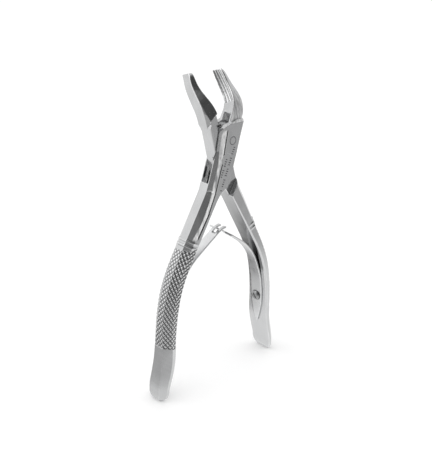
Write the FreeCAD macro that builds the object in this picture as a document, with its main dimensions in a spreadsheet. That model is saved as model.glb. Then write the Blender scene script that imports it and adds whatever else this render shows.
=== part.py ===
# Extraction forceps: two forged halves crossing in a box joint, a flush rivet, and two leaf springs.
# Frame: Z up, standing on the two handle ends at Z = 0, X is the opening direction, the pivot lies along Y.
# The female half is the left handle with the right beak. The male half mirrors it and carries the tongue.
# All sizes are in millimetres and are held in the Dims sheet.
import os

import FreeCAD
import Part
import Sketcher

V = FreeCAD.Vector

DIMS = {
    # distance from the joint's middle plane back to the frame's origin
    "frame_y": 3.9,
    # box joint
    "pivot_height": 101.5,
    "joint_thickness": 8.4,
    "slot_width": 3.8,
    "tongue_thickness": 3.6,
    "thin_margin": 1.0,
    "rivet_diameter": 4.9,
    "rivet_hole_diameter": 5.0,
    "cheek_bevel": 2.0,
    # handle centre line, distance from the middle plane at each named height
    "foot_x": 33.0,
    "tail_x": 32.1,
    "waist_x": 30.2,
    "flat_x": 29.6,
    "swell_x": 28.4,
    "palm_x": 25.4,
    "shank_x": 19.5,
    "root_x": 12.7,
    "neck_x": 6.0,
    "foot_z": 0.0,
    "tail_z": 9.0,
    "waist_z": 18.0,
    "flat_z": 28.0,
    "swell_z": 40.0,
    "palm_z": 52.0,
    "shank_z": 64.0,
    "root_z": 76.0,
    "neck_z": 88.0,
    # bead rings above the grip
    "bead_low_z": 67.6,
    "bead_high_z": 69.4,
    "bead_length": 0.7,
    "bead_height": 0.28,
    # leaf spring
    "leaf_thickness": 0.8,
    "leaf_foot_width": 6.4,
    "leaf_hinge_gap": 0.3,
    "fork_gap": 1.8,
    # leaf screw
    "screw_z": 30.0,
    "screw_shank_diameter": 2.2,
    "screw_head_diameter": 4.4,
    "screw_head_height": 1.2,
    "screw_depth": 3.4,
    "screw_slot_width": 0.6,
    "screw_slot_depth": 0.5,
}

HANDLE_POINTS = ("foot", "tail", "waist", "flat", "swell", "palm", "shank", "root", "neck")

# Handle section: height, half width, crown half width, crown depth, side depth, inner bevel.
HANDLE_SECTIONS = (
    (0.0, 5.6, 3.4, 2.4, 1.0, 0.3),
    (15.0, 5.9, 3.0, 3.3, 1.3, 0.3),
    (38.0, 5.7, 1.7, 2.8, 1.9, 0.6),
    (60.0, 4.9, 1.7, 2.2, 2.8, 0.5),
    (84.0, 4.2, 2.2, 2.0, 4.0, 0.3),
)
FOOT_ROUND = ((0.0, 0.45), (0.5, 0.68), (1.4, 0.85), (3.0, 0.97), (4.5, 1.0))
HANDLE_STATIONS = (4.5, 9.0, 18.0, 28.0, 40.0, 52.0, 64.0, 75.0, 82.0, 88.0)

# Joint plate outline of the female half about the pivot, clockwise from the handle root on the outer side.
PLATE_OUTER = (
    (-8.85, -12.0), (-7.75, -8.8), (-5.9, -2.6), (-4.0, 3.6), (-2.9, 9.7), (-2.4, 13.0),
)
PLATE_INNER = (
    (5.8, 15.8), (8.7, 15.6), (9.1, 14.3), (8.6, 12.6), (7.4, 8.4), (5.7, 1.9), (4.7, -1.4), (3.3, -6.7), (2.4, -9.7),
    (0.2, -12.5), (-2.1, -13.8), (-4.6, -17.0),
)
# Slot through the female plate, wide enough for the tongue from closed to open.
SLOT = (
    (-16.0, -5.6), (-8.1, -8.6), (-5.4, -12.8), (-2.6, -15.3), (3.0, -20.0), (16.0, -20.0), (16.0, 7.5),
    (9.2, 9.6), (7.6, 13.2), (4.4, 17.3), (2.6, 24.0), (-16.0, 24.0),
)
# Thinned zone of the male half, wide enough for the cheeks from closed to open.
THIN_ZONE = (
    (-16.0, 0.2), (-5.2, 0.2), (-6.7, 8.1), (-7.4, 11.2), (-8.6, 16.2), (-2.6, 20.2), (2.0, 26.0), (16.0, 26.0),
    (16.0, -7.0),
    (9.4, -8.6), (8.0, -10.4), (4.7, -16.3), (2.4, -19.2), (-2.0, -25.0), (-16.0, -25.0),
)

# Tapers that run the thinned zone out into the beak root, as (y, height above the pivot).
ROOT_TAPERS = (
    ((1.8, -1.0), (1.8, 12.0), (4.4, 20.0), (8.0, 20.0), (8.0, -1.0)),
    ((-1.8, 0.0), (-4.3, 4.5), (-8.0, 4.5), (-8.0, 0.0)),
)

# Beak: centre x, y, height above the pivot, width along y at the outer and inner side, depth along x, bevel.
BEAK_SECTIONS = (
    (5.0, 0.0, 11.0, 8.2, 6.6, 5.8, 1.6),
    (6.5, 0.1, 16.0, 7.8, 6.6, 6.4, 1.4),
    (8.1, 0.9, 20.3, 5.8, 6.6, 5.6, 0.6),
    (8.9, 4.2, 24.4, 4.9, 6.2, 3.9, 0.3),
    (8.85, 8.0, 28.6, 4.6, 5.9, 2.6, 0.25),
    (8.15, 11.25, 32.9, 4.2, 5.1, 1.5, 0.2),
)
# Normal of the beak's end face.
TIP_AXIS = (0.0, 0.29, 0.957)
# Hollow grind with teeth on the inner face, from this section to the tip.
FLUTE_COUNT = 4
FLUTE_DEPTH = 0.55
HOLLOW_DEPTH = 0.5
HOLLOW_END_DEPTH = 1.0
FLUTE_START_SHIFT = 0.9
FLUTE_RUNOUT = 1.5

# Leaf spring: gap to the handle under the foot, heights where the foot follows the handle, then the free
# part up to the crossing point on the middle plane. The blade bends about the hinge point.
LEAF_SEAT = 0.1
LEAF_SEAT_HEIGHTS = (16.4, 21.0, 26.0, 31.0, 36.0, 40.0)
LEAF_FREE = (
    (23.9, 44.8), (22.4, 49.2), (19.2, 54.9), (15.0, 59.6), (10.2, 63.3), (5.6, 66.5), (2.3, 68.7), (0.0, 70.1),
)
LEAF_HINGE = (22.4, 49.2)
FORK_END = ((-1.4, 70.5), (-2.9, 70.7))
TONGUE_END = ((-1.4, 70.9), (-2.8, 71.9))
# Width of the leaf seen along X: height and half width.
FOOT_OUTLINE = ((16.0, 0.3), (20.0, 1.7), (26.0, 2.9), (33.0, 3.2), (40.0, 3.0), (50.0, 2.4))
BLADE_OUTLINE = ((47.0, 2.55), (50.0, 2.4), (58.0, 2.3), (66.0, 2.4), (73.0, 2.4))
TONGUE_OUTLINE = (
    (47.0, 2.55), (50.0, 2.4), (58.0, 2.3), (66.0, 2.4), (67.4, 0.65), (71.0, 0.65), (71.3, 1.9), (73.0, 1.9),
)
FORK_START = 68.9


def lerp_row(rows, z):
    """Linear interpolation in a table whose first column rises."""
    if z <= rows[0][0]:
        return rows[0][1:]
    for a, b in zip(rows, rows[1:]):
        if z <= b[0]:
            t = (z - a[0]) / (b[0] - a[0])
            return tuple(p + (q - p) * t for p, q in zip(a[1:], b[1:]))
    return rows[-1][1:]


def centre_x(z):
    """Handle centre line: distance from the middle plane at a height, as a cubic through the named points."""
    pts = [(DIMS[n + "_z"], DIMS[n + "_x"]) for n in HANDLE_POINTS]
    pts = [(2 * pts[0][0] - pts[1][0], pts[1][1])] + pts
    pts = pts + [(2 * pts[-1][0] - pts[-2][0], 2 * pts[-1][1] - pts[-2][1])]
    for i in range(1, len(pts) - 2):
        if z <= pts[i + 1][0] or i == len(pts) - 3:
            (za, xa), (zb, xb), (zc, xc), (zd, xd) = pts[i - 1 : i + 3]
            step = zc - zb
            t = (z - zb) / step
            mb = (xc - xa) / (zc - za) * step
            mc = (xd - xb) / (zd - zb) * step
            return (
                (2 * t**3 - 3 * t**2 + 1) * xb
                + (t**3 - 2 * t**2 + t) * mb
                + (3 * t**2 - 2 * t**3) * xc
                + (t**3 - t**2) * mc
            )


def centre_frame(z):
    """Point, tangent and outward normal of the handle centre line in the XZ plane, right-hand side."""
    e = 0.05
    slope = (centre_x(z + e) - centre_x(z - e)) / (2 * e)
    tangent = V(slope, 0, 1).normalize()
    normal = V(tangent.z, 0, -tangent.x)
    return V(centre_x(z), 0, z), tangent, normal


def section_depth(z):
    return sum(lerp_row(HANDLE_SECTIONS, z)[2:])


def inner_face(z, off=0.0):
    """Point off the handle's inner face, towards the middle plane."""
    p, _, n = centre_frame(z)
    return p - n * (section_depth(z) / 2 + off)


def mirror(p, side):
    return V(p.x * side, p.y, p.z)


def make_sheet(doc):
    sheet = doc.addObject("Spreadsheet::Sheet", "Dims")
    for row, (name, value) in enumerate(DIMS.items(), start=1):
        sheet.set("A%d" % row, name)
        sheet.set("B%d" % row, str(value))
        sheet.setAlias("B%d" % row, name)
    doc.recompute()
    return sheet


def origin_plane(body, role):
    for feature in body.Origin.OriginFeatures:
        if feature.Role == role:
            return feature


def placement(point, x_axis, y_axis):
    z_axis = x_axis.cross(y_axis)
    return FreeCAD.Placement(point, FreeCAD.Rotation(x_axis, y_axis, z_axis, "XYZ"))


def free_sketch(body, name, place):
    """Sketch attached to the body's own base plane with an offset that puts it in place."""
    sketch = body.newObject("Sketcher::SketchObject", name)
    sketch.AttachmentSupport = [(origin_plane(body, "XY_Plane"), "")]
    sketch.MapMode = "FlatFace"
    sketch.AttachmentOffset = place
    return sketch


def add_polygon(sketch, points):
    count = len(points)
    for i in range(count):
        a = points[i]
        b = points[(i + 1) % count]
        sketch.addGeometry(Part.LineSegment(V(a[0], a[1], 0), V(b[0], b[1], 0)), False)
    return sketch


def side_sketch(body, name, points, y=0.0):
    """Polygon drawn in the XZ plane at a given y; its normal points to -Y."""
    sketch = free_sketch(body, name, placement(V(0, y, 0), V(1, 0, 0), V(0, 0, 1)))
    return add_polygon(sketch, points)


def handle_outline(z, scale=1.0, grow=0.0):
    """Eight corners of the handle section as (outward, y) pairs."""
    half, crown, drop, side, bevel = lerp_row(HANDLE_SECTIONS, z)
    depth = drop + side + bevel
    top = depth / 2
    rows = (
        (top + grow, crown + grow / 2),
        (top - drop, half + grow),
        (-top + bevel, half),
        (-top, half - bevel),
    )
    upper = [(u * scale, w * scale) for u, w in rows]
    lower = [(u, -w) for u, w in reversed(upper)]
    return upper + lower


def handle_sketch(body, name, z, side, scale=1.0, grow=0.0):
    p, t, n = centre_frame(z)
    out = V(n.x * side, 0, n.z)
    place = placement(mirror(p, side), out, V(0, 1, 0))
    return add_polygon(free_sketch(body, name, place), handle_outline(z, scale, grow))


def level_sketch(body, name, z, side, scale):
    """Handle section drawn level, for the rounded end that stands on the floor."""
    place = placement(V(centre_x(z) * side, 0, z), V(side, 0, 0), V(0, 1, 0))
    return add_polygon(free_sketch(body, name, place), handle_outline(z, scale))


def loft(body, name, sketches, ruled=False, subtract=False):
    kind = "PartDesign::SubtractiveLoft" if subtract else "PartDesign::AdditiveLoft"
    feature = body.newObject(kind, name)
    feature.Profile = sketches[0]
    feature.Sections = sketches[1:]
    feature.Ruled = ruled
    body.Document.recompute()
    return feature


def add_handle(body, side):
    stations = [
        handle_sketch(body, "HandleSection%d" % i, z, side) for i, z in enumerate(HANDLE_STATIONS)
    ]
    loft(body, "Handle", stations)
    rounds = [
        level_sketch(body, "FootSection%d" % i, z, side, scale) for i, (z, scale) in enumerate(FOOT_ROUND)
    ]
    loft(body, "Foot", rounds, ruled=True)


def add_beads(body, side):
    for name in ("bead_low", "bead_high"):
        sketch = handle_sketch(body, name + "_section", DIMS[name + "_z"], side, grow=DIMS["bead_height"])
        pad = body.newObject("PartDesign::Pad", name)
        pad.Profile = sketch
        pad.setExpression("Length", "Dims.bead_length")
        body.Document.recompute()


def plate_points(inset):
    outer = [(x + inset, z) for x, z in PLATE_OUTER]
    outer[-1] = (PLATE_OUTER[-1][0] + inset * 0.4, PLATE_OUTER[-1][1] + inset * 0.12)
    return outer + list(PLATE_INNER)


def to_world(points, side):
    """Points about the pivot of the female half, mirrored for the male half."""
    flip = 1 if side < 0 else -1
    return [(x * flip, z + DIMS["pivot_height"]) for x, z in points]


def add_plate(body, side):
    half = DIMS["joint_thickness"] / 2
    core = half - DIMS["cheek_bevel"]
    layers = ((half, DIMS["cheek_bevel"]), (core, 0.0), (-core, 0.0), (-half, DIMS["cheek_bevel"]))
    sketches = [
        side_sketch(body, "PlateSection%d" % i, to_world(plate_points(inset), side), y)
        for i, (y, inset) in enumerate(layers)
    ]
    loft(body, "Plate", sketches, ruled=True)


def beak_frames(side):
    """Centre, opening-direction axis and width axis of each beak section."""
    flip = 1 if side < 0 else -1
    centres = [V(x * flip, y, z + DIMS["pivot_height"]) for x, y, z, *_ in BEAK_SECTIONS]
    last = len(centres) - 1
    ends = {0: V(0, 0, 1), last: V(*TIP_AXIS)}
    frames = []
    for i, c in enumerate(centres):
        a = centres[max(i - 1, 0)]
        b = centres[min(i + 1, last)]
        t = ends[i] if i in ends else (b - a).normalize()
        across = V(flip, 0, 0)
        across = (across - t * across.dot(t)).normalize()
        frames.append((c, across, t.cross(across) * flip))
    return frames


def beak_outline(outer, inner, depth, bevel):
    """Beak section: flat inner face, bevelled outer corners."""
    d = depth / 2
    small = 0.3
    rows = (
        (d, outer / 2 - bevel),
        (d - bevel, outer / 2),
        (-d + small, inner / 2),
        (-d, inner / 2 - small),
    )
    return list(rows) + [(u, -v) for u, v in reversed(rows)]


def add_beak(body, side):
    sketches = []
    for i, (frame, row) in enumerate(zip(beak_frames(side), BEAK_SECTIONS)):
        sketch = free_sketch(body, "BeakSection%d" % i, placement(*frame))
        sketches.append(add_polygon(sketch, beak_outline(*row[3:])))
    loft(body, "Beak", sketches)


def flute_outline(width, depth, deepest):
    """Comb that cuts the hollow and its teeth into the inner face."""
    half = width / 2 - 0.45
    count = 2 * FLUTE_COUNT
    rows = []
    for i in range(count + 1):
        v = -half + 2 * half * i / count
        hollow = deepest * (1 - (v / half) ** 2) - 0.06
        tooth = FLUTE_DEPTH if i % 2 else 0.0
        rows.append((-depth / 2 + hollow + tooth, v))
    return rows + [(-depth / 2 - 3.0, half + 0.6), (-depth / 2 - 3.0, -half - 0.6)]


def add_flutes(body, side):
    sketches = []
    frames = beak_frames(side)
    last = len(BEAK_SECTIONS) - 1
    for i in range(2, last + 1):
        c, across, wide = frames[i]
        before = frames[i - 1][0]
        after = frames[min(i + 1, last)][0]
        shift = {2: FLUTE_START_SHIFT, last: FLUTE_RUNOUT}.get(i, 0.0)
        place = placement(c + (after - before).normalize() * shift, across, wide)
        deepest = HOLLOW_END_DEPTH if i == 2 else HOLLOW_DEPTH
        row = BEAK_SECTIONS[i]
        sketch = free_sketch(body, "FluteSection%d" % i, place)
        sketches.append(add_polygon(sketch, flute_outline(row[4], row[5], deepest)))
    loft(body, "Flutes", sketches, subtract=True)


def pocket_block(body, name, points, y_from, length_cell):
    """Pocket of a side-view polygon, starting at y_from and running towards +Y."""
    sketch = side_sketch(body, name + "_outline", points, y_from)
    pocket = body.newObject("PartDesign::Pocket", name)
    pocket.Profile = sketch
    pocket.setExpression("Length", length_cell)
    body.Document.recompute()
    return pocket


def add_pivot_hole(body, diameter_cell):
    sketch = free_sketch(
        body, "PivotCircle", placement(V(0, -DIMS["joint_thickness"], 0), V(1, 0, 0), V(0, 0, 1))
    )
    sketch.addGeometry(Part.Circle(V(0, DIMS["pivot_height"], 0), V(0, 0, 1), 2.5), False)
    radius = sketch.addConstraint(Sketcher.Constraint("Diameter", 0, DIMS["rivet_hole_diameter"]))
    sketch.setExpression("Constraints[%d]" % radius, diameter_cell)
    pocket = body.newObject("PartDesign::Pocket", "PivotHole")
    pocket.Profile = sketch
    pocket.setExpression("Length", "2 * Dims.joint_thickness")
    body.Document.recompute()
    return pocket


def screw_frame(side):
    """Point on the inner face at the screw and the direction into the handle."""
    z = DIMS["screw_z"]
    _, t, n = centre_frame(z)
    return mirror(inner_face(z), side), V(n.x * side, 0, n.z), V(t.x * side, 0, t.z)


def add_screw_hole(body, side, lead=2.0):
    point, inward, along = screw_frame(side)
    wide = along.cross(inward)
    place = placement(point - inward * lead, along, wide)
    sketch = free_sketch(body, "ScrewCircle", place)
    sketch.addGeometry(Part.Circle(V(0, 0, 0), V(0, 0, 1), 1.1), False)
    radius = sketch.addConstraint(Sketcher.Constraint("Diameter", 0, DIMS["screw_shank_diameter"]))
    sketch.setExpression("Constraints[%d]" % radius, "Dims.screw_shank_diameter")
    pocket = body.newObject("PartDesign::Pocket", "ScrewHole")
    pocket.Profile = sketch
    pocket.setExpression("Length", "Dims.screw_depth + %g" % lead)
    volume = body.Shape.Volume
    body.Document.recompute()
    if abs(body.Shape.Volume - volume) < 1.0:
        pocket.Reversed = True
        body.Document.recompute()
    return pocket


def add_root_tapers(body):
    for i, points in enumerate(ROOT_TAPERS):
        sketch = end_sketch(body, "RootTaper%d" % i)
        add_polygon(sketch, [(y, z + DIMS["pivot_height"]) for y, z in points])
        through_pocket(body, "RootTaperCut%d" % i, sketch)


def make_half(doc, name, side):
    body = doc.addObject("PartDesign::Body", name)
    body.Label = name
    add_handle(body, side)
    add_beads(body, side)
    add_plate(body, side)
    add_beak(body, side)
    add_flutes(body, side)
    if side < 0:
        pocket_block(
            body, "Slot", to_world(SLOT, side), -DIMS["slot_width"] / 2, "Dims.slot_width"
        )
        add_pivot_hole(body, "Dims.rivet_diameter")
    else:
        depth = "(Dims.joint_thickness - Dims.tongue_thickness) / 2 + Dims.thin_margin"
        zone = [(x, z + DIMS["pivot_height"]) for x, z in THIN_ZONE]
        half = DIMS["joint_thickness"] / 2
        pocket_block(body, "ThinFront", zone, -half - DIMS["thin_margin"], depth)
        pocket_block(body, "ThinBack", zone, DIMS["tongue_thickness"] / 2, depth)
        add_root_tapers(body)
        add_pivot_hole(body, "Dims.rivet_hole_diameter")
    add_screw_hole(body, side)
    return body


def leaf_curve(end_points):
    """Centre line of the right-hand leaf from its pointed foot to its tip."""
    seat = [inner_face(z, LEAF_SEAT + DIMS["leaf_thickness"] / 2) for z in LEAF_SEAT_HEIGHTS]
    free = [V(x, 0, z) for x, z in LEAF_FREE + tuple(end_points)]
    curve = Part.BSplineCurve()
    curve.interpolate(seat + free)
    return curve


def strip_points(curve, start, end, count):
    """Two offset rows of points along part of the leaf centre line."""
    half = DIMS["leaf_thickness"] / 2
    rows = ([], [])
    for i in range(count):
        u = start + (end - start) * i / (count - 1)
        p = curve.value(u)
        t = V(*curve.tangent(u)[0]).normalize()
        n = V(t.z, 0, -t.x)
        rows[0].append(p + n * half)
        rows[1].append(p - n * half)
    return rows


def add_strip(body, curve, start, end, side):
    rows = [[V(p.x * side, p.z, 0) for p in row] for row in strip_points(curve, start, end, 16)]
    sketch = side_sketch(body, body.Name + "_profile", [])
    for row in rows:
        edge = Part.BSplineCurve()
        edge.interpolate(row)
        sketch.addGeometry(edge, False)
    for i in (0, -1):
        sketch.addGeometry(Part.LineSegment(rows[0][i], rows[1][i]), False)
    pad = body.newObject("PartDesign::Pad", body.Name + "_strip")
    pad.Profile = sketch
    pad.Midplane = True
    pad.setExpression("Length", "Dims.leaf_foot_width + 2")
    body.Document.recompute()


def end_sketch(body, name):
    """Sketch in the YZ plane, drawn as (y, z)."""
    return free_sketch(body, name, placement(V(0, 0, 0), V(0, 1, 0), V(0, 0, 1)))


def through_pocket(body, name, sketch):
    pocket = body.newObject("PartDesign::Pocket", name)
    pocket.Profile = sketch
    pocket.Midplane = True
    pocket.setExpression("Length", "4 * Dims.foot_x")
    before = body.Shape.Volume
    body.Document.recompute()
    if abs(body.Shape.Volume - before) < 0.01:
        raise RuntimeError(name + " cut nothing")


def trim_strip(body, outline):
    """Cuts away everything outside the leaf's outline as seen along X."""
    sketch = end_sketch(body, body.Name + "_outline")
    low = outline[0][0]
    high = outline[-1][0]
    wide = DIMS["leaf_foot_width"]
    add_polygon(sketch, ((-wide, low - 9), (wide, low - 9), (wide, high + 9), (-wide, high + 9)))
    right = [(w, z) for z, w in outline]
    add_polygon(sketch, right + [(-w, z) for w, z in reversed(right)])
    through_pocket(body, body.Name + "_trim", sketch)


def make_leaf(doc, prefix, side, tongue):
    curve = leaf_curve(TONGUE_END if tongue else FORK_END)
    first = curve.FirstParameter
    last = curve.LastParameter
    hinge = curve.parameter(V(LEAF_HINGE[0], 0, LEAF_HINGE[1]))
    gap = DIMS["leaf_hinge_gap"] / 2 / (curve.length(first, last)) * (last - first)
    foot = doc.addObject("PartDesign::Body", prefix + "_spring_foot")
    add_strip(foot, curve, first, hinge - gap, side)
    trim_strip(foot, FOOT_OUTLINE)
    add_screw_hole(foot, side, 4.0)
    blade = doc.addObject("PartDesign::Body", prefix + "_spring_blade")
    add_strip(blade, curve, hinge + gap, last, side)
    trim_strip(blade, TONGUE_OUTLINE if tongue else BLADE_OUTLINE)
    if not tongue:
        fork = end_sketch(blade, prefix + "_fork_gap")
        half = DIMS["fork_gap"] / 2
        add_polygon(fork, ((-half, FORK_START), (half, FORK_START), (half, 80.0), (-half, 80.0)))
        through_pocket(blade, prefix + "_fork", fork)
    for body in (foot, blade):
        body.Label = body.Name
    return [foot, blade]


def make_screw(doc, name, side):
    """Cheese-head screw with a domed top and a slot, drawn on its own axis and then placed."""
    body = doc.addObject("PartDesign::Body", name)
    body.Label = name
    radius = DIMS["screw_head_diameter"] / 2
    shank = DIMS["screw_shank_diameter"] / 2
    top = DIMS["screw_head_height"]
    end = -(DIMS["screw_depth"] + DIMS["leaf_thickness"])
    sketch = free_sketch(body, name + "_profile", placement(V(0, 0, 0), V(1, 0, 0), V(0, 0, 1)))
    add_polygon(
        sketch,
        ((0, end), (shank, end), (shank, 0), (radius, 0), (radius, 0.5 * top), (0.86 * radius, 0.8 * top),
         (0.6 * radius, top), (0, top)),
    )
    turn = body.newObject("PartDesign::Revolution", name + "_turned")
    turn.Profile = sketch
    turn.ReferenceAxis = (sketch, ["V_Axis"])
    turn.Angle = 360
    doc.recompute()
    slot = free_sketch(body, name + "_slot_outline", placement(V(0, 0, top), V(1, 0, 0), V(0, 1, 0)))
    half = DIMS["screw_slot_width"] / 2
    wide = radius + 1
    add_polygon(slot, ((-wide, -half), (wide, -half), (wide, half), (-wide, half)))
    cut = body.newObject("PartDesign::Pocket", name + "_slot")
    cut.Profile = slot
    cut.setExpression("Length", "Dims.screw_slot_depth")
    doc.recompute()
    point, inward, along = screw_frame(side)
    seat = point - inward * (LEAF_SEAT + DIMS["leaf_thickness"] + 0.03)
    lean = (along + V(0, 0.9, 0)).normalize()
    body.Placement = placement(seat, lean, (inward * -1).cross(lean))
    return body


def make_rivet(doc):
    rivet = doc.addObject("Part::Cylinder", "pivot_pin")
    rivet.Label = "pivot_pin"
    rivet.setExpression("Radius", "Dims.rivet_diameter / 2")
    rivet.setExpression("Height", "Dims.joint_thickness")
    base = V(0, DIMS["joint_thickness"] / 2, DIMS["pivot_height"])
    rivet.Placement = FreeCAD.Placement(base, FreeCAD.Rotation(V(1, 0, 0), 90))
    return rivet


def settle(doc, solids):
    """Moves everything along Y so that the frame's origin is under the middle of the whole object."""
    shift = FreeCAD.Placement(V(0, -DIMS["frame_y"], 0), FreeCAD.Rotation())
    for solid in solids:
        solid.Placement = shift * solid.Placement
    doc.recompute()


def check(doc, solids):
    for obj in doc.Objects:
        if "Invalid" in obj.State or "Error" in obj.State:
            raise RuntimeError("%s did not compute" % obj.Name)
    for solid in solids:
        shape = solid.Shape
        if shape.isNull() or not shape.isValid() or len(shape.Solids) != 1:
            raise RuntimeError("%s is not one valid solid" % solid.Label)
        print(solid.Label, "%.1f mm3" % shape.Volume)


def main():
    os.makedirs("parts", exist_ok=True)
    doc = FreeCAD.newDocument("forceps")
    make_sheet(doc)
    solids = [make_half(doc, "female_half", -1), make_half(doc, "male_half", 1), make_rivet(doc)]
    solids += make_leaf(doc, "left", -1, False)
    solids += make_leaf(doc, "right", 1, True)
    solids += [make_screw(doc, "left_spring_screw", -1), make_screw(doc, "right_spring_screw", 1)]
    settle(doc, solids)
    check(doc, solids)
    for solid in solids:
        solid.Shape.exportStep(os.path.join("parts", solid.Label + ".step"))


main()
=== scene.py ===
import math

import bmesh
import bpy
import numpy as np
from mathutils import Matrix, Vector, kdtree


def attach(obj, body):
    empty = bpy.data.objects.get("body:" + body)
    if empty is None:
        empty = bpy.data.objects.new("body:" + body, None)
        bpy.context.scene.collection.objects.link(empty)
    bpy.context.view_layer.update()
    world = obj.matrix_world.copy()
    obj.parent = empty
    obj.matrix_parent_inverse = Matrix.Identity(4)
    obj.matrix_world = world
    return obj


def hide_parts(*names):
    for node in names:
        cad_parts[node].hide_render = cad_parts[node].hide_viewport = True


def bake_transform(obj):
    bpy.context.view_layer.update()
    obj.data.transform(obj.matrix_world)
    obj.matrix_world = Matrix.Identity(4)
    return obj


MM = 0.001
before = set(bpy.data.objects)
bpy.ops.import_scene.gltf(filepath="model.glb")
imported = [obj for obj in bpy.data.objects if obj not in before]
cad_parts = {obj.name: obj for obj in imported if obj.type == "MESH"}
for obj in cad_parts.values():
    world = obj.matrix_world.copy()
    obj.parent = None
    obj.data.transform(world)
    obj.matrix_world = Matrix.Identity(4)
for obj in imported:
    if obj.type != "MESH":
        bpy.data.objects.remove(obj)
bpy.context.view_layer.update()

# Sizes of the part, in millimetres
FRAME_Y = -3.9  # middle plane of the joint
PIVOT = (0.0, FRAME_Y, 101.5)
LEAF_BEND = (22.4, 49.2)
LEAF_HALF_WIDTH = 2.42
LEAF_THICKNESS = 0.8
# Centre line of the right-hand handle through the grip, as x and z
GRIP_LINE = ((23.0, 29.9), (28.0, 29.6), (34.0, 29.1), (40.0, 28.4), (46.0, 27.2), (52.0, 25.4), (58.0, 22.8),
             (64.0, 19.5), (70.0, 16.1))
GRIP_LOW = 25.0
GRIP_HIGH = 66.9
GRIP_FADE = 0.5
KNURL_TALL = 2.1
KNURL_WIDE = 1.8
KNURL_DEPTH = 0.25
KNURL_GROOVE = 0.36  # half width of a groove, as a share of a diamond
# Strength of the painted shade in the knurl grooves
KNURL_SHADE = 0.9
# How far round each grip the knurl goes, as the lowest outward share of the surface normal
KNURL_REACH = {-1: -0.35, 1: 0.30}
KNURL_REACH_FADE = 0.2
# Half width of the outer flat and depth of the chamfer beside it, by height
GRIP_HEIGHTS = (15.0, 38.0, 60.0)
GRIP_CROWN = (3.0, 1.7, 1.7)
GRIP_CHAMFER = (3.3, 2.8, 2.2)
CHAMFER_SLOPE = 1.22  # length along the chamfer for each unit of width
# Engraved line down the female half's front face, as x and z, and the width of the satin band left of it
CHEEK_LINE = ((0.5, 114.0), (-2.0, 100.0), (-5.5, 88.0), (-9.0, 80.0), (-15.5, 70.0))
LINE_HALF = 0.32
LINE_DEPTH = 0.22
BAND_WIDTH = 1.8
BAND_FADE = 0.2
# Generic marks on that face: ring centre and radius, then rows as offset, start and count from a first point
CHEEK_HALF = 4.2  # from the middle plane to the face
MARK_RING = (3.3, 108.8, 1.6)
MARK_START = (4.2, 105.9)
MARK_ROWS = ((0.0, 0.0, 21), (-2.2, 5.6, 10))
MARK_LEAN = math.atan2(5.2, 13.2)
MARK_PROUD = 0.06
RING_DOTS = 18
TICK_STEP = 0.92
TICK_LENGTHS = (0.8, 1.1)
TICK_WIDTH = 0.34
TICK_GROUP = 5  # each fifth tick is left out
# Brushed front of the right-hand beak: lowest height, then the heights over which it fades out
BRUSH_LOW = 116.0
BRUSH_FADE = (124.0, 129.0)
BRUSH_STRENGTH = 0.85
# Bends of the surface, as a share of the mesh size, for painted shade on concave points and painted
# highlights on sharp ones
HOLLOW_BEND = (0.015, 0.10)
RIDGE_BEND = (0.02, 0.11)
# Painted shade round a fastened piece, as a dark seam: full up to the first distance, gone at the second. The
# leaf's seam shade reaches further at the back by the drift.
LEAF_SEAM = (0.40, 0.65)
LEAF_SEAM_DRIFT = 0.7
SCREW_SEAM = (0.20, 0.50)
# Painted dark reflection of the leaf, as a wedge in front of it: heights it fades over, and its slanting edge
# as offset, height and slope
WEDGE_LOW = (43.0, 46.0)
WEDGE_HIGH = (59.0, 62.5)
WEDGE_EDGE = (-1.9, 60.0, 0.25)
WEDGE_EDGE_FADE = 0.5
WEDGE_STRENGTH = 0.85
# Rivet, peened over the rim of its hole
PIN_RADIUS = 2.44
PIN_LENGTH = 8.42
PIN_SPREAD = 0.16
PIN_EDGE = 0.03
PIN_FLARE = 0.3
# Mesh sizes of the copies
HALF_VOXEL = 0.18
LEAF_VOXEL = 0.12
SCREW_VOXEL = 0.09


# ---------------------------------------------------------------- mesh tools


def add_object(name, mesh):
    obj = bpy.data.objects.new(name, mesh)
    bpy.context.scene.collection.objects.link(obj)
    return obj


def smooth_shading(mesh):
    mesh.polygons.foreach_set("use_smooth", [True] * len(mesh.polygons))


def dense_copy(name, nodes, voxel, rounds, extra=None):
    """One closed, evenly meshed copy of CAD nodes, its edges softly rounded."""
    bm = bmesh.new()
    for node in nodes:
        bm.from_mesh(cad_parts[node].data)
    if extra:
        extra(bm)
    bmesh.ops.remove_doubles(bm, verts=bm.verts, dist=1e-7)
    mesh = bpy.data.meshes.new(name)
    bm.to_mesh(mesh)
    bm.free()
    obj = add_object(name, mesh)
    even = obj.modifiers.new("even", "REMESH")
    even.mode = "VOXEL"
    even.voxel_size = voxel * MM
    even.adaptivity = 0.0
    soft = obj.modifiers.new("soft", "SMOOTH")
    soft.factor = 0.5
    soft.iterations = rounds
    graph = bpy.context.evaluated_depsgraph_get()
    final = bpy.data.meshes.new_from_object(obj.evaluated_get(graph))
    obj.modifiers.clear()
    obj.data = final
    smooth_shading(final)
    return obj


def vertex_array(mesh):
    co = np.empty(len(mesh.vertices) * 3)
    mesh.vertices.foreach_get("co", co)
    return co.reshape(-1, 3)


def normal_array(mesh):
    normals = np.empty(len(mesh.vertices) * 3)
    mesh.vertex_normals.foreach_get("vector", normals)
    return normals.reshape(-1, 3)


def smoothstep(x, low, high):
    t = np.clip((x - low) / (high - low), 0.0, 1.0)
    return t * t * (3 - 2 * t)


# ---------------------------------------------------------------- knurl


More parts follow.
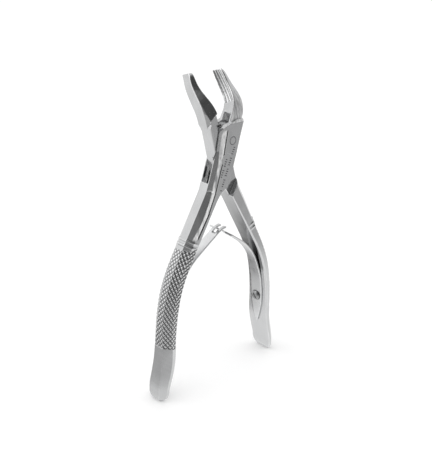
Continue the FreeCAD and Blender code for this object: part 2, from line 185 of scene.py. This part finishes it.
def grip_stations():
    """Fine points, tangents and arc length along the grip's centre line, right-hand side, in millimetres."""
    z = np.linspace(GRIP_LINE[0][0], GRIP_LINE[-1][0], 240)
    x = np.interp(z, [p[0] for p in GRIP_LINE], [p[1] for p in GRIP_LINE])
    kernel = np.ones(21) / 21
    x[10:-10] = np.convolve(x, kernel, "valid")
    slope = np.gradient(x, z)
    size = np.sqrt(1 + slope**2)
    arc = np.concatenate(([0.0], np.cumsum((size[1:] + size[:-1]) / 2 * np.diff(z))))
    return x, z, slope / size, 1 / size, arc


def cut_knurl(obj, side):
    """Presses a diamond pattern into the grip's outer face and, on the left, its side faces."""
    mesh = obj.data
    co = vertex_array(mesh)
    normals = normal_array(mesh)
    p = co / MM
    near = np.where((p[:, 2] > GRIP_LOW - 3) & (p[:, 2] < GRIP_HIGH + 3) & (p[:, 0] * side > 8))[0]
    q = p[near]
    x, z, tx, tz, arc = grip_stations()
    qx = q[:, 0] * side
    along = np.empty(len(q))
    out = np.empty(len(q))
    outward = np.empty(len(q))
    for start in range(0, len(q), 20000):
        part = slice(start, start + 20000)
        dx = qx[part, None] - x[None]
        dz = q[part, 2][:, None] - z[None]
        k = np.argmin(dx * dx + dz * dz, axis=1)
        row = np.arange(len(k))
        along[part] = arc[k] + dx[row, k] * tx[k] + dz[row, k] * tz[k]
        out[part] = dx[row, k] * tz[k] - dz[row, k] * tx[k]
        n = normals[near[part]]
        outward[part] = n[:, 0] * side * tz[k] - n[:, 2] * tx[k]
    across = q[:, 1] - FRAME_Y
    crown = np.interp(q[:, 2], GRIP_HEIGHTS, GRIP_CROWN)
    lean = np.maximum(np.abs(across) - crown, 0.0)
    side_top = np.percentile(out, 99) - np.interp(q[:, 2], GRIP_HEIGHTS, GRIP_CHAMFER)
    down_side = np.maximum(side_top - out, 0.0)
    girth = np.sign(across) * (np.minimum(np.abs(across), crown) + lean * CHAMFER_SLOPE + down_side)
    a = along / KNURL_TALL + girth / KNURL_WIDE
    b = along / KNURL_TALL - girth / KNURL_WIDE
    groove_shade = [np.clip(1 - np.abs(v - np.round(v)) / KNURL_GROOVE, 0.0, 1.0) for v in (a, b)]
    reach = KNURL_REACH[side]
    mask = smoothstep(outward, reach, reach + KNURL_REACH_FADE)
    mask *= smoothstep(q[:, 2], GRIP_LOW, GRIP_LOW + GRIP_FADE)
    mask *= smoothstep(-q[:, 2], -GRIP_HIGH, -GRIP_HIGH + GRIP_FADE)
    cut = np.maximum(groove_shade[0], groove_shade[1]) * mask
    co[near] -= normals[near] * (cut * KNURL_DEPTH * MM)[:, None]
    mesh.vertices.foreach_set("co", co.ravel())
    # Painted shade in the knurl grooves
    point_layer(mesh, "groove_shade", near, KNURL_SHADE * cut)
    mesh.update()
    smooth_shading(mesh)


def point_layer(mesh, name, index, values):
    """Stores values on some vertices of a mesh, where they are higher than what the layer holds already."""
    layer = mesh.attributes.get(name) or mesh.attributes.new(name, "FLOAT", "POINT")
    full = np.zeros(len(mesh.vertices), dtype=np.float32)
    layer.data.foreach_get("value", full)
    full[index] = np.maximum(full[index], values)
    layer.data.foreach_set("value", full)


def cut_cheek_line(obj):
    """Engraves the line that parts the satin band from the marked flat, and records the band."""
    mesh = obj.data
    co = vertex_array(mesh)
    normals = normal_array(mesh)
    p = co / MM
    x, z = (np.array(v) for v in zip(*CHEEK_LINE))
    low, high = z.min(), z.max()
    near = np.where((p[:, 2] > low) & (p[:, 2] < high) & (normals[:, 1] < -0.4))[0]
    q = p[near]
    order = np.argsort(z)
    line = np.interp(q[:, 2], z[order], x[order])
    tilt = np.cos(np.arctan(np.gradient(x[order], z[order])))
    gap = (q[:, 0] - line) * np.interp(q[:, 2], z[order], tilt)
    ends = smoothstep(q[:, 2], low, low + 1.5) * smoothstep(-q[:, 2], -high, -high + 1.0)
    cut = np.clip(1.4 - np.abs(gap) / LINE_HALF, 0.0, 1.0) * ends
    co[near] -= normals[near] * (cut * LINE_DEPTH * MM)[:, None]
    mesh.vertices.foreach_set("co", co.ravel())
    # Painted shade in the engraved line
    point_layer(mesh, "groove_shade", near, cut)
    band = smoothstep(-gap, LINE_HALF, LINE_HALF + BAND_FADE)
    band *= smoothstep(gap, -BAND_WIDTH - 0.3, -BAND_WIDTH)
    point_layer(mesh, "satin", near, band * ends)
    mesh.update()
    smooth_shading(mesh)


def brush_beak_front(obj):
    """Records the brushed lower front of the right-hand beak."""
    mesh = obj.data
    p = vertex_array(mesh) / MM
    facing = normal_array(mesh)[:, 1]
    near = np.where((p[:, 0] > 2.0) & (p[:, 2] > BRUSH_LOW) & (facing < -0.5))[0]
    low, high = BRUSH_FADE
    fade = smoothstep(-p[near, 2], -high, -low) * smoothstep(-facing[near], 0.5, 0.75)
    point_layer(mesh, "satin", near, BRUSH_STRENGTH * fade)


def neighbour_mean(edges, count, values):
    """Mean of each column of values over the vertices joined to each vertex by an edge."""
    total = np.empty_like(values)
    for k in range(values.shape[1]):
        total[:, k] = np.bincount(edges[:, 0], values[edges[:, 1], k], len(values))
        total[:, k] += np.bincount(edges[:, 1], values[edges[:, 0], k], len(values))
    return total / count[:, None]


def note_bends(obj, voxel):
    """Records how concave or sharp the surface is at each point: painted shade in creases, painted highlights
    on edges.
    """
    mesh = obj.data
    co = vertex_array(mesh)
    edges = np.empty(len(mesh.edges) * 2, dtype=np.int64)
    mesh.edges.foreach_get("vertices", edges)
    edges = edges.reshape(-1, 2)
    count = np.maximum(np.bincount(edges.ravel(), minlength=len(co)), 1)
    bend = ((neighbour_mean(edges, count, co) - co) * normal_array(mesh)).sum(axis=1) / (voxel * MM)
    bend = neighbour_mean(edges, count, bend[:, None])[:, 0]
    everywhere = np.arange(len(co))
    point_layer(mesh, "painted_shade", everywhere, smoothstep(bend, *HOLLOW_BEND))
    point_layer(mesh, "painted_highlight", everywhere, smoothstep(-bend, *RIDGE_BEND))


def shade_seam(obj, neighbour, low, high, drift=0.0):
    """Records painted shade, a dark seam on one piece round another fastened to it, wider at the back by the
    drift.
    """
    other = vertex_array(neighbour.data) / MM
    other[:, 1] += drift
    tree = kdtree.KDTree(len(other))
    for i, point in enumerate(other):
        tree.insert(point, i)
    tree.balance()
    p = vertex_array(obj.data) / MM
    box_low = other.min(axis=0) - 1.0
    box_high = other.max(axis=0) + 1.0
    near = np.where(((p > box_low) & (p < box_high)).all(axis=1))[0]
    gap = np.array([tree.find(point)[2] for point in p[near]])
    point_layer(obj.data, "painted_shade", near, smoothstep(-gap, -high, -low))


def shade_gap(obj, side):
    """Records a painted dark reflection of the leaf: a wedge on a handle's inner face, in front of the leaf
    spring where the two part.
    """
    p = vertex_array(obj.data) / MM
    n = normal_array(obj.data)
    inner = (n[:, 0] * side < -0.75) & (np.abs(n[:, 1]) < 0.4)
    near = np.where(inner & (p[:, 2] > WEDGE_LOW[0]) & (p[:, 2] < WEDGE_HIGH[1]) & (p[:, 0] * side > 5.0))[0]
    across = p[near, 1] - FRAME_Y
    z = p[near, 2]
    offset, height, slope = WEDGE_EDGE
    edge = offset + (height - z) * slope
    wedge = smoothstep(edge - across, 0.0, WEDGE_EDGE_FADE)
    wedge *= smoothstep(-z, -WEDGE_HIGH[1], -WEDGE_HIGH[0]) * smoothstep(z, *WEDGE_LOW)
    point_layer(obj.data, "painted_shade", near, WEDGE_STRENGTH * wedge)


# ---------------------------------------------------------------- materials


class Nodes:
    """Short way to add linked shader nodes."""

    def __init__(self, material):
        material.use_nodes = True
        self.tree = material.node_tree
        self.tree.nodes.clear()

    def add(self, kind, **values):
        node = self.tree.nodes.new(kind)
        for key, value in values.items():
            if key in node.inputs:
                node.inputs[key].default_value = value
            else:
                setattr(node, key, value)
        return node

    def link(self, a, b):
        self.tree.links.new(a, b)


def stretched_noise(n, coords, scale, stretch, detail, rough):
    mapping = n.add("ShaderNodeMapping")
    mapping.inputs["Scale"].default_value = stretch
    n.link(coords.outputs["Object"], mapping.inputs["Vector"])
    noise = n.add("ShaderNodeTexNoise", Scale=scale, Detail=detail, Roughness=rough)
    n.link(mapping.outputs["Vector"], noise.inputs["Vector"])
    return noise.outputs["Fac"]


def remap(n, value, low, high, from_low=0.3, from_high=0.7):
    node = n.add("ShaderNodeMapRange")
    node.inputs["From Min"].default_value = from_low
    node.inputs["From Max"].default_value = from_high
    node.inputs["To Min"].default_value = low
    node.inputs["To Max"].default_value = high
    n.link(value, node.inputs["Value"])
    return node.outputs["Result"]


def steel(name, colour, rough, spread, grain, scratch, groove_shade=None, satin=None):
    """Polished stainless steel: cloudy polish, fine grinding lines along the tool and hairline scratches.

    Layers stored on the mesh paint highlights on its sharp edges and paint shade into its hollows, its seams
    and the wedge by the leaf. Where they are named, the groove layer paints shade into the cuts and the satin
    layer brushes the surface.
    """
    material = bpy.data.materials.new(name)
    n = Nodes(material)
    out = n.add("ShaderNodeOutputMaterial")
    shader = n.add("ShaderNodeBsdfPrincipled", Metallic=1.0)
    n.link(shader.outputs["BSDF"], out.inputs["Surface"])
    coords = n.add("ShaderNodeTexCoord")
    cloud = stretched_noise(n, coords, 180.0, (1, 1, 0.6), 3.0, 0.5)
    lines = stretched_noise(n, coords, 900.0, (1, 1, 0.06), 2.0, 0.6)
    hair = stretched_noise(n, coords, 420.0, (1.0, 0.3, 0.12), 6.0, 0.75)
    mix = n.add("ShaderNodeMath", operation="MULTIPLY_ADD")
    n.link(lines, mix.inputs[0])
    mix.inputs[1].default_value = 0.45
    n.link(cloud, mix.inputs[2])
    polish = remap(n, mix.outputs[0], rough - spread, rough + spread, 0.5, 0.95)
    tone = n.add("ShaderNodeMix", data_type="RGBA")
    tone.inputs["A"].default_value = (*[c * 0.93 for c in colour], 1)
    tone.inputs["B"].default_value = (*colour, 1)
    n.link(remap(n, cloud, 0.0, 1.0, 0.35, 0.65), tone.inputs["Factor"])
    last = tone.outputs["Result"]
    # Painted highlight on sharp edges, then painted shade in hollows, seams and the wedge by the leaf
    for layer, strength, shade in (("painted_highlight", 0.75, 0.97), ("painted_shade", 0.80, 0.10)):
        bend = n.add("ShaderNodeAttribute", attribute_name=layer)
        edge = n.add("ShaderNodeMix", data_type="RGBA")
        n.link(remap(n, bend.outputs["Fac"], 0.0, strength, 0.0, 1.0), edge.inputs["Factor"])
        n.link(last, edge.inputs["A"])
        edge.inputs["B"].default_value = (shade, shade, shade, 1)
        last = edge.outputs["Result"]
    # Painted shade in the grooves and the engraved line
    if groove_shade:
        cut = n.add("ShaderNodeAttribute", attribute_name=groove_shade)
        dark = n.add("ShaderNodeMix", data_type="RGBA")
        n.link(remap(n, cut.outputs["Fac"], 0.0, 0.92, 0.34, 0.95), dark.inputs["Factor"])
        n.link(last, dark.inputs["A"])
        dark.inputs["B"].default_value = (0.05, 0.052, 0.055, 1)
        last = dark.outputs["Result"]
    if satin:
        band = n.add("ShaderNodeAttribute", attribute_name=satin)
        brushed = n.add("ShaderNodeMix", data_type="RGBA")
        n.link(band.outputs["Fac"], brushed.inputs["Factor"])
        n.link(last, brushed.inputs["A"])
        streaks = n.add("ShaderNodeMix", data_type="RGBA")
        streaks.inputs["A"].default_value = (0.38, 0.385, 0.39, 1)
        streaks.inputs["B"].default_value = (0.98, 0.98, 0.98, 1)
        n.link(remap(n, hair, 0.0, 1.0, 0.40, 0.55), streaks.inputs["Factor"])
        n.link(streaks.outputs["Result"], brushed.inputs["B"])
        last = brushed.outputs["Result"]
        n.link(remap(n, band.outputs["Fac"], 1.0, 0.60, 0.0, 1.0), shader.inputs["Metallic"])
        rise = n.add("ShaderNodeMath", operation="MULTIPLY_ADD")
        n.link(band.outputs["Fac"], rise.inputs[0])
        rise.inputs[1].default_value = 0.30
        n.link(polish, rise.inputs[2])
        polish = rise.outputs[0]
    n.link(polish, shader.inputs["Roughness"])
    n.link(last, shader.inputs["Base Color"])
    fine = n.add("ShaderNodeBump", Strength=grain, Distance=0.00004)
    n.link(lines, fine.inputs["Height"])
    marks = n.add("ShaderNodeBump", Strength=scratch, Distance=0.00005)
    n.link(remap(n, hair, 0.0, 1.0, 0.60, 0.70), marks.inputs["Height"])
    n.link(fine.outputs["Normal"], marks.inputs["Normal"])
    n.link(marks.outputs["Normal"], shader.inputs["Normal"])
    return material


def etched(name):
    """Dark, matt laser marking."""
    material = bpy.data.materials.new(name)
    n = Nodes(material)
    out = n.add("ShaderNodeOutputMaterial")
    shader = n.add("ShaderNodeBsdfPrincipled", Metallic=0.4)
    n.link(shader.outputs["BSDF"], out.inputs["Surface"])
    coords = n.add("ShaderNodeTexCoord")
    speck = stretched_noise(n, coords, 2500.0, (1, 1, 1), 3.0, 0.6)
    tone = n.add("ShaderNodeMix", data_type="RGBA")
    tone.inputs["A"].default_value = (0.015, 0.015, 0.017, 1)
    tone.inputs["B"].default_value = (0.07, 0.07, 0.075, 1)
    n.link(remap(n, speck, 0.0, 1.0), tone.inputs["Factor"])
    n.link(tone.outputs["Result"], shader.inputs["Base Color"])
    n.link(remap(n, speck, 0.5, 0.7), shader.inputs["Roughness"])
    return material


def dress(obj, body, material, slot, *nodes):
    obj.data.materials.clear()
    obj.data.materials.append(material)
    if nodes:
        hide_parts(*nodes)
    if body:
        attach(obj, body)


# ---------------------------------------------------------------- pieces


def leaf_bridge(side):
    """Closes the gap between a leaf's foot and its blade."""

    def add(bm):
        x, z = LEAF_BEND
        tangent = Vector((-0.49 * side, 0, 0.87)).normalized()
        flat = Vector((tangent.z, 0, -tangent.x))
        rows = Matrix((flat, Vector((0, 1, 0)), tangent)).transposed().to_4x4()
        place = Matrix.Translation(Vector((x * side, FRAME_Y, z)) * MM) @ rows
        size = Matrix.Diagonal((LEAF_THICKNESS * MM, 2 * LEAF_HALF_WIDTH * MM, 0.9 * MM, 1))
        bmesh.ops.create_cube(bm, size=1.0, matrix=place @ size)

    return add


def peened_pin(name, centre):
    """Round pin along Y, peened out over the softened rim of its hole at both ends."""
    half = PIN_LENGTH / 2
    head = PIN_RADIUS + PIN_SPREAD
    start = ((head - PIN_EDGE, -half), (head, -half + PIN_EDGE), (PIN_RADIUS, -half + PIN_FLARE))
    profile = start + tuple((r, -y) for r, y in reversed(start))
    bm = bmesh.new()
    rings = []
    steps = 72
    for r, y in profile:
        ring = []
        for i in range(steps):
            angle = 2 * math.pi * i / steps
            ring.append(bm.verts.new((Vector((r * math.cos(angle), y, r * math.sin(angle))) + centre) * MM))
        rings.append(ring)
    for a, b in zip(rings, rings[1:]):
        for i in range(steps):
            j = (i + 1) % steps
            bm.faces.new((a[i], a[j], b[j], b[i]))
    bm.faces.new(rings[0])
    bm.faces.new(list(reversed(rings[-1])))
    bmesh.ops.recalc_face_normals(bm, faces=bm.faces)
    mesh = bpy.data.meshes.new(name)
    bm.to_mesh(mesh)
    bm.free()
    return add_object(name, mesh)


def cheek_marks():
    """Generic engraving on the marked flat: a small ring and two rows of short ticks, no lettering."""
    bm = bmesh.new()
    face_y = FRAME_Y - CHEEK_HALF
    down = Vector((-math.sin(MARK_LEAN), 0, -math.cos(MARK_LEAN)))
    over = Vector((-down.z, 0, down.x))
    rows = Matrix((over, Vector((0, 1, 0)), down)).transposed().to_4x4()

    def bar(centre, width, height, turn=0.0):
        place = Matrix.Translation(Vector((centre[0], face_y, centre[1])) * MM) @ rows
        size = Matrix.Diagonal((width * MM, MARK_PROUD * MM, height * MM, 1))
        bmesh.ops.create_cube(bm, size=1.0, matrix=place @ Matrix.Rotation(turn, 4, "Y") @ size)

    x, z, radius = MARK_RING
    for i in range(RING_DOTS):
        angle = 2 * math.pi * i / RING_DOTS
        bar((x + radius * math.cos(angle), z + radius * math.sin(angle)), TICK_WIDTH, TICK_WIDTH, angle)
    first = Vector((MARK_START[0], 0, MARK_START[1]))
    for offset, start, count in MARK_ROWS:
        for i in range(count):
            if i % TICK_GROUP == TICK_GROUP - 1:
                continue
            spot = first + down * (start + i * TICK_STEP) + over * offset
            bar((spot.x, spot.z), TICK_LENGTHS[i % 2], TICK_WIDTH)
    mesh = bpy.data.meshes.new("cheek_marks")
    bm.to_mesh(mesh)
    bm.free()
    return add_object("cheek_marks", mesh)


half_material = steel("forged_steel", (0.66, 0.665, 0.67), 0.17, 0.06, 0.10, 0.10, "groove_shade", "satin")
leaf_material = steel("leaf_steel", (0.74, 0.745, 0.75), 0.32, 0.06, 0.08, 0.06)
pin_material = steel("pin_steel", (0.66, 0.665, 0.67), 0.22, 0.05, 0.08, 0.06)
screw_material = steel("screw_steel", (0.36, 0.365, 0.37), 0.26, 0.08, 0.06, 0.12)
mark_material = etched("laser_mark")

for side, body, half_name in ((-1, "female", "female_half"), (1, "male", "male_half")):
    piece = dense_copy(half_name + "_forging", [half_name], HALF_VOXEL, 3)
    cut_knurl(piece, side)
    if side < 0:
        cut_cheek_line(piece)
        brush_beak_front(piece)
    note_bends(piece, HALF_VOXEL)
    dress(piece, body, half_material, "half_steel", half_name)
    hand = "left" if side < 0 else "right"
    leaf_nodes = [hand + "_spring_foot", hand + "_spring_blade"]
    leaf = dense_copy(hand + "_leaf_spring", leaf_nodes, LEAF_VOXEL, 4, leaf_bridge(side))
    note_bends(leaf, LEAF_VOXEL)
    dress(leaf, None, leaf_material, "spring_steel", *leaf_nodes)
    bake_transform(leaf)
    screw = dense_copy(hand + "_leaf_screw", [hand + "_spring_screw"], SCREW_VOXEL, 3)
    note_bends(screw, SCREW_VOXEL)
    # Painted shade as dark seams round the leaf and round the screw
    shade_seam(piece, leaf, *LEAF_SEAM, LEAF_SEAM_DRIFT)
    shade_seam(leaf, screw, *SCREW_SEAM)
    # Painted dark reflection of the leaf on the handle's inner face
    shade_gap(piece, side)
    dress(screw, body, screw_material, "screw_steel", hand + "_spring_screw")

dress(cheek_marks(), "female", mark_material, "half_steel")
pin = peened_pin("pivot_rivet", Vector(PIVOT))
dress(pin, "female", pin_material, "pin_steel", "pivot_pin")


# ---------------------------------------------------------------- floor, light and camera


def flat_square(name, reach, height):
    mesh = bpy.data.meshes.new(name)
    corners = [(x * reach, y * reach, height) for x, y in ((-1, -1), (1, -1), (1, 1), (-1, 1))]
    mesh.from_pydata(corners, [], [(0, 1, 2, 3)])
    return add_object(name, mesh)


def studio_floor():
    floor = flat_square("studio_floor", 6.0, 0.0)
    material = bpy.data.materials.new("floor_paper")
    n = Nodes(material)
    out = n.add("ShaderNodeOutputMaterial")
    shader = n.add("ShaderNodeBsdfPrincipled", Roughness=0.6)
    shader.inputs["Base Color"].default_value = (0.93, 0.93, 0.93, 1)
    shader.inputs["Specular IOR Level"].default_value = 0.15
    n.link(shader.outputs["BSDF"], out.inputs["Surface"])
    floor.data.materials.append(material)


def area_light(name, place, aim, size, power):
    data = bpy.data.lights.new(name, "AREA")
    data.shape = "RECTANGLE"
    data.size, data.size_y = size
    data.energy = power
    light = bpy.data.objects.new(name, data)
    bpy.context.scene.collection.objects.link(light)
    light.location = place
    light.rotation_euler = (Vector(aim) - Vector(place)).to_track_quat("-Z", "Y").to_euler()


def level(n, value, from_low, from_high, to_low, to_high):
    """Smooth ramp of one value into another range."""
    node = n.add("ShaderNodeMapRange", interpolation_type="SMOOTHSTEP")
    ends = {"From Min": from_low, "From Max": from_high, "To Min": to_low, "To Max": to_high}
    for key, number in ends.items():
        node.inputs[key].default_value = number
    n.link(value, node.inputs["Value"])
    return node.outputs["Result"]


def combine(n, operation, a, b):
    node = n.add("ShaderNodeMath", operation=operation)
    n.link(a, node.inputs[0])
    n.link(b, node.inputs[1])
    return node.outputs[0]


def distance_from(n, coords, point):
    gap = n.add("ShaderNodeVectorMath", operation="DISTANCE")
    n.link(coords.outputs["Object"], gap.inputs[0])
    gap.inputs[1].default_value = point
    return gap.outputs["Value"]


def reflector_board():
    """Board just over the floor that shows only in reflections.

    It is light behind the part and grey in front of it, with a light disc and one small dark patch.
    """
    board = flat_square("reflector_board", 4.0, 0.0006)
    material = bpy.data.materials.new("reflector_paper")
    n = Nodes(material)
    out = n.add("ShaderNodeOutputMaterial")
    glow = n.add("ShaderNodeEmission", Strength=1.0)
    n.link(glow.outputs["Emission"], out.inputs["Surface"])
    coords = n.add("ShaderNodeTexCoord")
    parts = n.add("ShaderNodeSeparateXYZ")
    n.link(coords.outputs["Object"], parts.inputs[0])
    behind = level(n, parts.outputs["Y"], -0.03, 0.12, 0.0, 0.92)
    near = level(n, distance_from(n, coords, (0.05, -0.03, 0)), 0.07, 0.13, 0.95, 0.48)
    patch = level(n, distance_from(n, coords, (0.010, 0.041, 0)), 0.003, 0.028, 0.10, 1.0)
    n.link(combine(n, "MULTIPLY", combine(n, "MAXIMUM", behind, near), patch), glow.inputs["Color"])
    board.data.materials.append(material)
    board.visible_camera = False
    board.visible_diffuse = False
    board.visible_shadow = False


def studio_world():
    """White room. Reflections see a dark front wall and light back and left walls instead."""
    world = bpy.data.worlds.new("studio")
    n = Nodes(world)
    out = n.add("ShaderNodeOutputWorld")
    mix = n.add("ShaderNodeMixShader")
    white = n.add("ShaderNodeBackground", Strength=1.12)
    room = n.add("ShaderNodeBackground", Strength=1.0)
    coords = n.add("ShaderNodeTexCoord")
    parts = n.add("ShaderNodeSeparateXYZ")
    n.link(coords.outputs["Generated"], parts.inputs[0])
    sides = level(n, parts.outputs["Y"], -0.45, 0.20, 0.06, 0.86)
    left = level(n, parts.outputs["X"], -0.30, -0.90, 0.0, 0.20)
    n.link(combine(n, "ADD", sides, left), room.inputs["Color"])
    white.inputs["Color"].default_value = (1, 1, 1, 1)
    path = n.add("ShaderNodeLightPath")
    n.link(path.outputs["Is Glossy Ray"], mix.inputs[0])
    n.link(white.outputs[0], mix.inputs[1])
    n.link(room.outputs[0], mix.inputs[2])
    n.link(mix.outputs[0], out.inputs["Surface"])
    bpy.context.scene.world = world


studio_floor()
reflector_board()
studio_world()
area_light("key_softbox", (-0.35, 0.30, 0.75), (0, 0, 0.06), (0.7, 0.5), 0.7)


def studio_camera():
    """Camera aimed at the middle of the part, from its azimuth, elevation, roll and distance."""
    azimuth, elevation, roll = (math.radians(v) for v in (-43.6, 22.8, 1.52))
    aim = Vector((0, FRAME_Y, 70)) * MM
    distance = 0.3125
    right = Vector((math.cos(azimuth), math.sin(azimuth), 0))
    up = Vector((-math.sin(azimuth) * math.sin(elevation), math.cos(azimuth) * math.sin(elevation),
                 math.cos(elevation)))
    back = Vector((math.sin(azimuth) * math.cos(elevation), -math.cos(azimuth) * math.cos(elevation),
                   math.sin(elevation)))
    x = right * math.cos(roll) + up * math.sin(roll)
    y = up * math.cos(roll) - right * math.sin(roll)
    data = bpy.data.cameras.new("studio_camera")
    camera = bpy.data.objects.new("studio_camera", data)
    bpy.context.scene.collection.objects.link(camera)
    turn = Matrix((x, y, back)).transposed().to_4x4()
    camera.matrix_world = Matrix.Translation(aim + back * distance) @ turn
    data.lens = 56.35
    data.sensor_width = 36
    data.shift_x = -0.0031
    data.shift_y = -0.0163
    data.clip_start = 0.01
    bpy.context.scene.camera = camera


studio_camera()
bpy.context.scene.view_settings.view_transform = "Standard"
